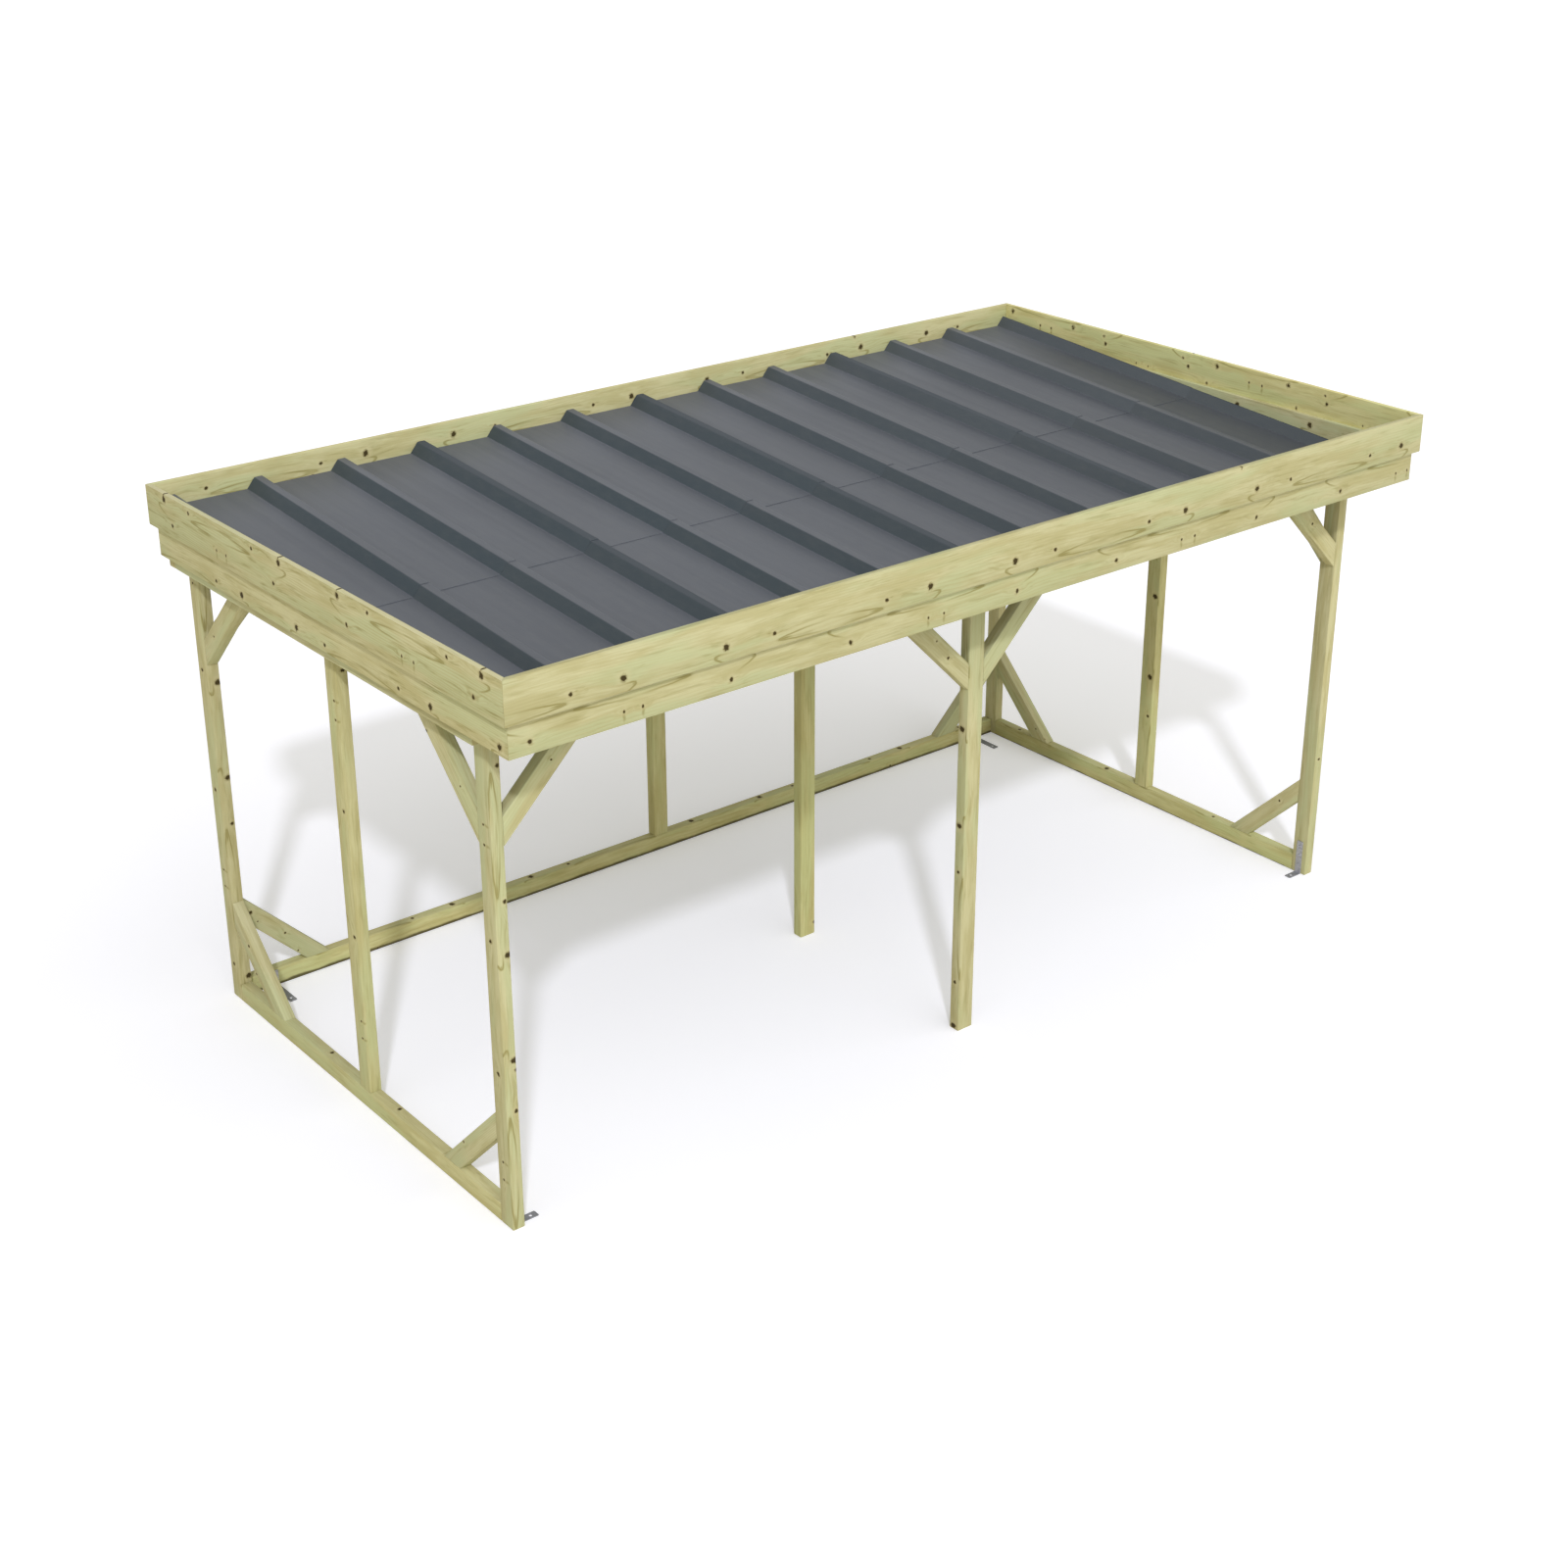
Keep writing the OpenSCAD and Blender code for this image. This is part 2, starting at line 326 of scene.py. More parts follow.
def makeKnotGroup():
    # keeps the smallest distance to a knot so far, counted in knot sizes, and how
    # far the grain is pushed aside; Stretch is small along the grain
    group, start, end = newGroup(
        "knotAt",
        [("Position", "NodeSocketVector", None), ("Centre", "NodeSocketVector", (0.0, 0.0, 0.0)),
         ("Reach", "NodeSocketVector", (100.0, 100.0, 100.0)),
         ("Stretch", "NodeSocketVector", (0.3, 1.0, 1.0)),
         ("Nearest", "NodeSocketFloat", 9.0), ("Bend", "NodeSocketFloat", 0.0)],
        [("Nearest", "NodeSocketFloat"), ("Bend", "NodeSocketFloat")])
    away = vectorMaths(group, "SUBTRACT", start.outputs["Position"], start.outputs["Centre"])
    away = vectorMaths(group, "MULTIPLY", away, start.outputs["Reach"])
    near = vectorMaths(group, "LENGTH", away)
    wire(group, maths(group, "MINIMUM", near, start.outputs["Nearest"]), end.inputs["Nearest"])
    wide = vectorMaths(group, "LENGTH", vectorMaths(group, "MULTIPLY", away, start.outputs["Stretch"]))
    bend = spread(group, wide, 0.0, 3.6, 1.0, 0.0, smooth=True)
    wire(group, maths(group, "MAXIMUM", bend, start.outputs["Bend"]), end.inputs["Bend"])
    return group


def makeKnotMarkGroup():
    group, start, end = newGroup(
        "knotMarks",
        [("Position", "NodeSocketVector", None), ("Nearest", "NodeSocketFloat", 9.0)],
        [("Core", "NodeSocketFloat"), ("Rim", "NodeSocketFloat"), ("Halo", "NodeSocketFloat")])
    rough = noise(group, start.outputs["Position"], (130.0, 130.0, 130.0), 3.0)
    away = maths(group, "ADD", start.outputs["Nearest"], spread(group, rough, 0.25, 0.75, -0.35, 0.35))
    wire(group, spread(group, away, 0.66, 1.02, 1.0, 0.0, smooth=True), end.inputs["Core"])
    wire(group, spread(group, away, 0.80, 1.5, 1.0, 0.0, smooth=True), end.inputs["Rim"])
    wire(group, spread(group, away, 1.4, 3.2, 1.0, 0.0, smooth=True), end.inputs["Halo"])
    return group


# The planks' figure over half a repeat, mirrored in the other half: X along from the
# middle of the figure, Y across from the upper row of knots, in metres.
figurePlan = {
    "repeat": 1.1935,
    "depth": 0.030,
    "knots": ((0.187, 0.000, 0.0112, 0.0122), (0.371, -0.002, 0.0072, 0.0070),
              (0.235, -0.082, 0.0074, 0.0080), (0.563, -0.080, 0.0044, 0.0056)),
    # rings that curl back: tip along and across, opening, slope, reach, half width
    "curls": ((0.1435, -0.0265, 0.0048, -0.17, 0.085, 0.0048),
              (0.3900, -0.0265, 0.0014, 0.01, 0.240, 0.0042)),
    # soft marks: centre along and across, half length, half width, strength
    "streaks": ((0.412, -0.0265, 0.042, 0.0064, 1.0), (0.148, -0.0285, 0.012, 0.0085, 0.75),
                (0.196, 0.0250, 0.030, 0.0045, 0.30), (0.120, 0.0165, 0.060, 0.0040, 0.22),
                (0.355, 0.0035, 0.016, 0.0034, 0.70), (0.242, -0.0900, 0.010, 0.0060, 0.60),
                (0.225, -0.0800, 0.036, 0.0034, 0.40), (0.563, -0.0960, 0.0075, 0.0220, 0.75)),
}


def makeFoldGroup():
    # turns a place on a piece into a place in the figure, with the depth into the wood in Z
    group, start, end = newGroup(
        "faceFold",
        [("Position", "NodeSocketVector", None), ("Start", "NodeSocketVector", (0.0, 0.0, 0.0)),
         ("Along", "NodeSocketVector", (1.0, 0.0, 0.0)), ("Across", "NodeSocketVector", (0.0, 0.0, 1.0)),
         ("Inwards", "NodeSocketVector", (0.0, 1.0, 0.0)), ("Repeat", "NodeSocketFloat", 1.0)],
        [("Place", "NodeSocketVector")])
    away = vectorMaths(group, "SUBTRACT", start.outputs["Position"], start.outputs["Start"])
    along, across, depth = (vectorMaths(group, "DOT_PRODUCT", away, start.outputs[label])
                            for label in ("Along", "Across", "Inwards"))
    turns = maths(group, "ADD", maths(group, "DIVIDE", along, start.outputs["Repeat"]), 0.5)
    half = maths(group, "ABSOLUTE", maths(group, "SUBTRACT", maths(group, "FRACT", turns), 0.5))
    half = maths(group, "MULTIPLY", half, start.outputs["Repeat"])
    wire(group, joinVector(group, half, across, depth), end.inputs["Place"])
    return group


def makeFigureGroup(plan, knotGroup):
    group, start, end = newGroup(
        "plankFigure",
        [("Place", "NodeSocketVector", None), ("Nearest", "NodeSocketFloat", 9.0),
         ("Bend", "NodeSocketFloat", 0.0), ("Line", "NodeSocketFloat", 0.0)],
        [("Nearest", "NodeSocketFloat"), ("Bend", "NodeSocketFloat"), ("Line", "NodeSocketFloat")])
    place = start.outputs["Place"]
    nearest, bend = start.outputs["Nearest"], start.outputs["Bend"]
    for along, across, narrow, wide in plan["knots"]:
        knot = useGroup(group, knotGroup, Position=place, Centre=(along, across, 0.0),
                        Reach=(1 / narrow, 1 / wide, 1 / plan["depth"]), Nearest=nearest, Bend=bend)
        nearest, bend = knot.outputs
    wire(group, nearest, end.inputs["Nearest"])
    wire(group, bend, end.inputs["Bend"])
    # the lines waver a little
    waver = noise(group, place, (14.0, 30.0, 30.0), 2.0, colour=True)
    waver = vectorMaths(group, "SUBTRACT", waver, (0.5, 0.5, 0.5))
    place = vectorMaths(group, "ADD", place, vectorMaths(group, "MULTIPLY", waver, (0.012, 0.007, 0.0)))
    x, y, depth = splitVector(group, place)
    lines = 0.0
    for tip, height, opening, slope, reach, width in plan["curls"]:
        p = maths(group, "SUBTRACT", x, tip)
        q = maths(group, "SUBTRACT", maths(group, "SUBTRACT", y, height), maths(group, "MULTIPLY", p, slope))
        curve = maths(group, "SUBTRACT", maths(group, "MULTIPLY", q, q), maths(group, "MULTIPLY", p, opening))
        shadedFlankTone = maths(group, "MULTIPLY_ADD", maths(group, "MULTIPLY", q, q), 4.0, opening ** 2)
        away = maths(group, "DIVIDE", maths(group, "ABSOLUTE", curve), maths(group, "SQRT", shadedFlankTone))
        line = spread(group, away, width * 0.2, width, 1.0, 0.0, smooth=True)
        fade = spread(group, p, reach * 0.15, reach, 1.0, 0.0, smooth=True)
        lines = maths(group, "MAXIMUM", maths(group, "MULTIPLY", line, fade), lines)
    for along, across, length, width, strength in plan["streaks"]:
        away = vectorMaths(group, "SUBTRACT", joinVector(group, x, y, 0.0), (along, across, 0.0))
        away = vectorMaths(group, "MULTIPLY", away, (1 / length, 1 / width, 0.0))
        away = vectorMaths(group, "LENGTH", away)
        lines = maths(group, "MAXIMUM", spread(group, away, 0.2, 1.0, strength, 0.0, smooth=True), lines)
    skinOnly = spread(group, maths(group, "ABSOLUTE", depth), 0.003, 0.006, 1.0, 0.0)
    lines = maths(group, "MULTIPLY", lines, skinOnly)
    wire(group, maths(group, "MAXIMUM", lines, start.outputs["Line"]), end.inputs["Line"])
    return group


pineShades = {
    "pale": (200, 195, 152),
    "warm": (187, 180, 133),
    "green": (189, 194, 149),
    "streak": (146, 137, 80),
    "ring": (176, 165, 115),
    "halo": (203, 194, 152),
    "rim": (122, 104, 50),
    "core": (50, 38, 6),
    "endGrain": (176, 163, 112),
    # painted light: the tone that level faces and the strip under an upper board are lightened towards
    "paintedLightTone": (224, 221, 186),
}
# each mark's share and shade, from the first that is laid on to the last
bodyLayers = (("Green", 0.7, "green"), ("Ring", 0.34, "ring"), ("Streak", 0.42, "streak"),
              ("Line", 0.85, "streak"), ("Halo", 0.35, "halo"), ("End", 0.75, "endGrain"))
darkLayers = (("Rim", 0.55, "rim"), ("Core", 0.94, "core"), ("FootBand", 0.85, "core"))
heightShares = (("Ring", -0.25), ("Streak", -0.4), ("Rim", 0.5), ("Core", -0.9))


def makeFinishGroup(shades):
    # turns the wood's marks into a colour, a roughness and a height
    marks = ["Patch", "Green", "Ring", "Streak", "Fibre", "Line", "Core", "Rim", "Halo", "End", "PaintedLight",
             "FootBand"]
    group, start, end = newGroup(
        "pineFinish",
        [(label, "NodeSocketFloat", 0.0) for label in marks]
        + [("Tint", "NodeSocketColor", (1.0, 1.0, 1.0, 1.0))],
        [("Color", "NodeSocketColor"), ("Roughness", "NodeSocketFloat"), ("Height", "NodeSocketFloat")])
    take = start.outputs
    shade = {name: tone(*value) for name, value in shades.items()}

    def layOn(colour, layers):
        for mark, share, name in layers:
            colour = blendColour(group, maths(group, "MULTIPLY", take[mark], share), colour, shade[name])
        return colour

    colour = blendColour(group, take["Patch"], shade["pale"], shade["warm"])
    colour = layOn(colour, bodyLayers)
    bright = spread(group, take["Fibre"], 0.0, 1.0, 0.93, 1.05)
    colour = blendColour(group, 1.0, colour, joinVector(group, bright, bright, bright), "MULTIPLY")
    colour = blendColour(group, 1.0, colour, take["Tint"], "MULTIPLY")
    # painted light: level faces and the strip under an upper board are lightened
    colour = blendColour(group, take["PaintedLight"], colour, shade["paintedLightTone"])
    wire(group, layOn(colour, darkLayers), end.inputs["Color"])
    rough = spread(group, take["Fibre"], 0.0, 1.0, 0.62, 0.80)
    rough = maths(group, "ADD", rough, maths(group, "MULTIPLY", take["Core"], 0.15))
    wire(group, rough, end.inputs["Roughness"])
    height = maths(group, "MULTIPLY", take["Fibre"], 0.45)
    for mark, share in heightShares:
        height = maths(group, "ADD", height, maths(group, "MULTIPLY", take[mark], share))
    wire(group, height, end.inputs["Height"])
    return group


grainGroup = makeGrainGroup()
knotGroup = makeKnotGroup()
knotMarkGroup = makeKnotMarkGroup()
foldGroup = makeFoldGroup()
figureGroup = makeFigureGroup(figurePlan, knotGroup)
finishGroup = makeFinishGroup(pineShades)


def startMaterial(name):
    material = bpy.data.materials.new(name)
    material.use_nodes = True
    tree = material.node_tree
    skin = tree.nodes["Principled BSDF"]
    coordinates = tree.nodes.new("ShaderNodeTexCoord").outputs
    return material, tree, skin, coordinates["Object"], coordinates["Normal"]


def addBump(tree, skin, height, strength, distance):
    bump = tree.nodes.new("ShaderNodeBump")
    bump.inputs["Strength"].default_value = strength
    bump.inputs["Distance"].default_value = distance
    wire(tree, height, bump.inputs["Height"])
    wire(tree, bump.outputs["Normal"], skin.inputs["Normal"])


pinePlan = {
    "ringWidth": (0.006, 0.009),
    "pithAcross": (0.03, 0.09),     # how far the middle of the trunk lies from the timber's
    "pithUp": (0.05, 0.13),
    # painted light: the band below a lower board's top, shaded by the upper board, is lightened
    "shelterEdge": (0.046, 0.038),  # below a lower board's top: what the upper one covers
    "bump": (0.35, 0.0012),
    "specular": 0.25,
}


def pineMaterial(name, grain, low, high, knots, figured=(), tint=(1, 1, 1), damp=0.0, bold=1.0, top=0.1,
                 shelter=0.0):
    # grain is the direction of the length, knots are (centre, reach) in metres, figured
    # holds the faces that show the planks' figure
    plan = pinePlan
    material, tree, skin, place, facing = startMaterial(name + "Pine")
    chance = random.Random(name)
    grain = Vector(grain).normalized()
    side = Vector((0, 0, 1)).cross(grain)
    side = side.normalized() if side.length > 0.1 else Vector((1, 0, 0))
    turn = Matrix((grain, side, grain.cross(side)))
    middle = turn @ ((Vector(low) + Vector(high)) / 2)
    pith = Vector((chance.uniform(0, 9), chance.choice((-1, 1)) * chance.uniform(*plan["pithAcross"]),
                   chance.choice((-1, 1)) * chance.uniform(*plan["pithUp"])))
    mapping = tree.nodes.new("ShaderNodeMapping")
    mapping.inputs["Rotation"].default_value = turn.to_euler()
    mapping.inputs["Location"].default_value = pith - middle
    wire(tree, place, mapping.inputs["Vector"])
    nearest, bend, line = 9.0, 0.0, 0.0
    for start, along, across, inwards in figured:
        fold = useGroup(tree, foldGroup, Position=place, Start=start, Along=along, Across=across,
                        Inwards=inwards, Repeat=figurePlan["repeat"])
        face = useGroup(tree, figureGroup, Place=fold.outputs[0], Nearest=nearest, Bend=bend, Line=line)
        nearest, bend, line = face.outputs
    stretch = tuple(1 - 0.7 * abs(part) for part in grain)
    for centre, reach in knots:
        knot = useGroup(tree, knotGroup, Position=place, Centre=centre, Reach=reach, Stretch=stretch,
                        Nearest=nearest, Bend=bend)
        nearest, bend = knot.outputs
    figure = useGroup(tree, grainGroup, Position=mapping.outputs[0],
                      RingWidth=chance.uniform(*plan["ringWidth"]), Bend=bend).outputs
    marks = useGroup(tree, knotMarkGroup, Position=place, Nearest=nearest).outputs
    alongGrain = maths(tree, "ABSOLUTE", vectorMaths(tree, "DOT_PRODUCT", facing, tuple(grain)))
    finish = useGroup(
        tree, finishGroup, Line=line, End=spread(tree, alongGrain, 0.85, 0.97), Tint=(*tint, 1.0),
        **{label: marks[label] for label in ("Core", "Rim", "Halo")},
        **{label: figure[label] for label in ("Patch", "Green", "Fibre")},
        **{label: maths(tree, "MULTIPLY", figure[label], bold) for label in ("Ring", "Streak")})
    # painted light: level faces are made paler, and so is the strip that the board above shades
    height = splitVector(tree, place)["Z"]
    paintedLightShare = spread(tree, splitVector(tree, facing)["Z"], 0.3, 0.9, 0.0, top)
    if shelter:
        below, above = (high.z - depth for depth in plan["shelterEdge"])
        paintedLightShare = maths(tree, "MAXIMUM", paintedLightShare, spread(tree, height, below, above, 0.0, shelter))
    wire(tree, paintedLightShare, finish.inputs["PaintedLight"])
    # a dark band along the timber's foot, up to the given height
    if damp:
        edge = spread(tree, noise(tree, place, (9.0, 9.0, 9.0), 3.0), 0.3, 0.7, -0.003, 0.003)
        footDark = spread(tree, maths(tree, "ADD", height, edge), damp * 0.6, damp, 1.0, 0.0)
        wire(tree, footDark, finish.inputs["FootBand"])
    addBump(tree, skin, finish.outputs["Height"], *plan["bump"])
    wire(tree, finish.outputs["Color"], skin.inputs["Base Color"])
    wire(tree, finish.outputs["Roughness"], skin.inputs["Roughness"])
    skin.inputs["Specular IOR Level"].default_value = plan["specular"]
    return material


print("wood groups made")


# timbers, braces and boards
timberPlan = {
    "postArris": 0.0035,
    "boardArris": 0.002,
    "arrisSteps": 2,
    "damp": {"sill_back": 0.015, "sill_right": 0.006},  # how high it stands at the foot
}
knotPlan = {
    "everyMetre": 1.3,
    "everyMetreOfBoard": 0.5,
    "size": (0.0035, 0.0085),
    "braceSize": (0.003, 0.007),
    "depth": 0.012,
    "spike": ((0.0095, -0.003), (0.0120, 0.0048, 0.0130)),  # place from the outer top edge, and size
}

# Faces that show the figure: the axis that each looks against, or along after a plus, the
# middle of the figure along the piece, and the upper row of knots across it.
figures = {
    "eaves_upper_front": [("y", -1.4590, 1.9155)],
    "eaves_lower_front": [("y", -1.0032, 1.8790)],
    "eaves_upper_left": [("x", -0.0170, 1.9960)],
    "eaves_lower_left": [("x", 0.3125, 1.7850)],
    "eaves_upper_back": [("y", -1.0190, 1.9635), ("+y", -0.4200, 1.9155)],
    "eaves_lower_back": [("+y", 0.2300, 1.8560)],
    "eaves_upper_right": [("x", 0.2667, 2.0420), ("+x", -0.3100, 1.9930)],
    "eaves_lower_right": [("x", -0.4470, 1.8650), ("+x", 0.1500, 1.8160)],
    "post_front_left": [("y", 0.8110, -1.9325), ("x", 0.8062, -0.7655)],
    "post_front_middle": [("x", 1.0200, -0.8590)],
    "post_middle_left": [("x", 0.9122, 0.1170)],
    "post_back_left": [("y", 1.1050, -1.9350), ("x", 1.1005, 1.1010)],
    "post_middle_right": [("x", 0.7840, 0.0325)],
    "sill_back": [("z", -0.8325, 1.0260)],
    "sill_left": [("z", 0.1013, -1.8590)],
    "sill_right": [("z", 0.4580, 1.9440)],
}


def figuredFaces(node, low, high, along):
    faces = []
    for looks, middle, across in figures.get(node, []):
        far = looks in ("z", "+x", "+y")
        looks = looks[-1]
        acrossAxis = ({"x", "y", "z"} - {looks, along}).pop()
        place = {along: middle, acrossAxis: across, looks: (low, high)[far]["xyz".index(looks)]}
        start = tuple(place[axis] for axis in "xyz")
        inwards = tuple((-1.0 if far else 1.0) * (axis == looks) for axis in "xyz")
        faces.append((start, tuple(float(axis == along) for axis in "xyz"),
                      tuple(float(axis == acrossAxis) for axis in "xyz"), inwards))
    return faces


def strayKnots(low, high, along, node, everyMetre):
    # a few knots of its own on the faces that carry no figure
    chance = random.Random(node)
    taken = [(looks[-1], int(looks in ("z", "+x", "+y"))) for looks, middle, across in figures.get(node, [])]
    free = [(looks, side) for looks in "xyz" for side in (0, 1)
            if looks != along and (looks, side) not in taken]
    length = high["xyz".index(along)] - low["xyz".index(along)]
    knots = []
    for _ in range(max(1, round(length * everyMetre))):
        looks, side = chance.choice(free)
        centre = [chance.uniform(low[i], high[i]) for i in range(3)]
        centre["xyz".index(looks)] = (low, high)[side]["xyz".index(looks)]
        size = chance.uniform(*knotPlan["size"])
        reach = [1 / (size * 1.3)] * 3
        reach["xyz".index(along)] = 1 / size
        reach["xyz".index(looks)] = 1 / knotPlan["depth"]
        knots.append((tuple(centre), tuple(reach)))
    return knots


def finishTimber(piece, arris, steps):
    # rounds the long edges and puts the place into the mesh
    applyPlace(piece)
    bevelFolds(piece, arris, steps, 30)
    bpy.ops.object.shade_smooth_by_angle(angle=math.radians(40))


def startBlock(name, low, high):
    pickNone()
    low, high = Vector(low), Vector(high)
    bpy.ops.mesh.primitive_cube_add(size=1, location=(low + high) / 2, scale=high - low)
    block = bpy.context.object
    block.name = block.data.name = name
    applyPlace(block)
    return block


def cutBlock(block, point, normal):
    # cuts off what lies beyond the plane, and closes the cut
    pickOnly(block)
    editMesh((bpy.ops.mesh.select_all, {"action": "SELECT"}),
             (bpy.ops.mesh.bisect, {"plane_co": point, "plane_no": normal, "use_fill": True,
                                    "clear_outer": True, "threshold": 0.00001}))


def fitPiece(piece, node):
    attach(piece, "root")
    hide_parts(node)


tintPlan = {
    "level": (0.955, 1.02),
    "warmth": 0.012,
    # timbers that stand out from the others, some of them by painted light and shade
    "bold": {"eaves_upper_left": 1.8, "eaves_lower_left": 1.6},
    # painted light: the left upper board's level face, and the strip under the upper boards, made paler
    "top": {"eaves_upper_left": 0.35},
    "shelter": {"eaves_lower_front": 1.0, "eaves_lower_left": 0.45},
    # partly painted light: the boards, sills, plate and posts under the roof, and the left boards, are lifted
    # where little light reaches them; values below one darken a timber
    "lighter": {"eaves_upper_right": 1.36, "eaves_upper_back": 1.06, "eaves_upper_left": 1.04,
                "eaves_lower_left": 1.08, "sill_back": 1.04, "top_plate_back": 1.06,
                "post_back_middle": 1.08, "post_front_middle": 0.94, "post_front_left": 0.96,
                "post_back_left": 0.91, "post_centre": 1.03, "braces_lower_left_1": 0.95,
                "braces_lower_left_2": 0.91, "braces_lower_back_1": 0.95},
    # painted shade colour: the timbers in the roof's shade are made yellower
    "shadeYellower": {"post_centre": 0.86, "post_middle_right": 0.88, "post_back_middle": 0.90,
                 "post_middle_left": 0.93, "sill_right": 0.84, "sill_left": 0.92, "sill_back": 0.88,
                 "eaves_upper_right": 0.87, "eaves_upper_back": 0.96},
}


def tintFor(node):
    # each timber a little lighter, darker, greener or warmer than the next, with the plan's painted light and
    # shade
    chance = random.Random("tint " + node)
    level = chance.uniform(*tintPlan["level"]) * tintPlan["lighter"].get(node, 1.0)
    warmth = chance.uniform(-tintPlan["warmth"], tintPlan["warmth"])
    blue = tintPlan["shadeYellower"].get(node, 1.0)
    return (level * (1 + warmth), level, level * (1 - 1.5 * warmth) * blue)


def spikeKnots(low, high):
    # the left board's big knots run up through its top edge
    looks, middle, across = figures["eaves_upper_left"][0]
    big = figurePlan["knots"][0][0]
    (inwards, down), size = knotPlan["spike"]
    places = [middle + side * big + step * figurePlan["repeat"] for step in range(-2, 3) for side in (-1, 1)]
    return [((low.x + inwards, y, high.z + down), tuple(1 / part for part in size))
            for y in places if low.y + 0.02 < y < high.y - 0.02]


def dressTimber(piece, node, low, high, along, knots, **looks):
    grain = tuple(float(axis == along) for axis in "xyz")
    faces = figuredFaces(node, low, high, along)
    piece.data.materials.append(pineMaterial(node, grain, low, high, knots, faces, tintFor(node), **looks))
    fitPiece(piece, node)


def addTimber(node, along, arris):
    low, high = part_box(node)
    timber = startBlock(node + "_timber", low, high)
    finishTimber(timber, arris, timberPlan["arrisSteps"])
    knots = strayKnots(low, high, along, node, knotPlan["everyMetre"])
    dressTimber(timber, node, low, high, along, knots, damp=timberPlan["damp"].get(node, 0.0))


def addBoard(node, along):
    # eaves board with mitred ends: long on its outer face, short on its inner one
    low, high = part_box(node)
    length, thick = (0, 1) if along == "x" else (1, 0)
    board = startBlock(node + "_board", low, high)
    outwards = -1 if (low + high)[thick] < 0 else 1
    for end in (-1, 1):
        corner = [0, 0, 0]
        corner[length] = (low if end < 0 else high)[length]
        corner[thick] = (low if outwards < 0 else high)[thick]
        normal = [0, 0, 0]
        normal[length] = end
        normal[thick] = -outwards
        cutBlock(board, corner, normal)
    finishTimber(board, timberPlan["boardArris"], timberPlan["arrisSteps"])
    knots = strayKnots(low, high, along, node, knotPlan["everyMetreOfBoard"])
    if node == "eaves_upper_left":
        knots += spikeKnots(low, high)
    dressTimber(board, node, low, high, along, knots, bold=tintPlan["bold"].get(node, 1.0),
                top=tintPlan["top"].get(node, 0.0), shelter=tintPlan["shelter"].get(node, 0.0))


bracePlan = {
    "leg": 0.345,
    "width": 0.070,
    "arris": 0.003,
    # big knots: place and size
    "knots": {"braces_lower_back_1": (((-1.8925, 1.0025, 0.338), 0.0080), ((-1.7600, 1.0025, 0.208), 0.0052)),
              "braces_lower_right_2": (((1.925, 0.645, 0.092), 0.0075),)},
}


def addBrace(name, corner, legs, thickAxis, thickness, plan):
    # fills the corner with a block, then cuts it along both long edges
    corner = Vector(corner)
    legs = [Vector(leg) for leg in legs]
    reach = corner + plan["leg"] * (legs[0] + legs[1])
    middle = corner + plan["leg"] / 2 * (legs[0] + legs[1])
    reach[thickAxis] = corner[thickAxis] + thickness
    low = Vector(min(a, b) for a, b in zip(corner, reach))
    high = Vector(max(a, b) for a, b in zip(corner, reach))
    brace = startBlock(name, low, high)
    outwards = (legs[0] + legs[1]).normalized()
    outer = corner + plan["leg"] * legs[0]
    cutBlock(brace, outer, outwards)
    cutBlock(brace, outer - plan["width"] * outwards, -outwards)
    finishTimber(brace, plan["arris"], timberPlan["arrisSteps"])
    grain = (legs[0] - legs[1]).normalized()
    chance = random.Random(name)
    knots = [(place, (1 / size,) * 3) for place, size in plan["knots"].get(name, ())]
    for _ in range(2):
        centre = middle + grain * chance.uniform(-0.2, 0.2) - outwards * chance.uniform(0.0, plan["width"])
        centre[thickAxis] = corner[thickAxis] + thickness * chance.choice((0, 1))
        size = chance.uniform(*knotPlan["braceSize"])
        knots.append((tuple(centre), (1 / size,) * 3))
    brace.data.materials.append(pineMaterial(name, grain, low, high, knots, (), tintFor(name)))
    return brace


def addBraces(node, places, thickAxis, plan):
    low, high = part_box(node)
    thickness = high[thickAxis] - low[thickAxis]
    made = []
    for number, (corner, legs) in enumerate(places, 1):
        corner[thickAxis] = low[thickAxis]
        made.append(addBrace(f"{node}_{number}", corner, legs, thickAxis, thickness, plan))
    for brace in made:
        fitPiece(brace, node)


for node in ("front_left", "front_middle", "front_right", "middle_left", "centre", "middle_right",
             "back_left", "back_middle", "back_right"):
    addTimber("post_" + node, "z", timberPlan["postArris"])
for node in ("sill_back", "top_plate_back", "front_beam", "middle_beam", "back_beam", "rail_back"):
    addTimber(node, "x", timberPlan["postArris"])
for node in ("sill_left", "sill_right", "top_plate_left", "top_plate_right", "rail_left", "rail_right"):
    addTimber(node, "y", timberPlan["postArris"])
for tier in ("eaves_upper_", "eaves_lower_"):
    for side, along in (("front", "x"), ("back", "x"), ("left", "y"), ("right", "y")):
        addBoard(tier + side, along)
print("posts, beams and boards made")

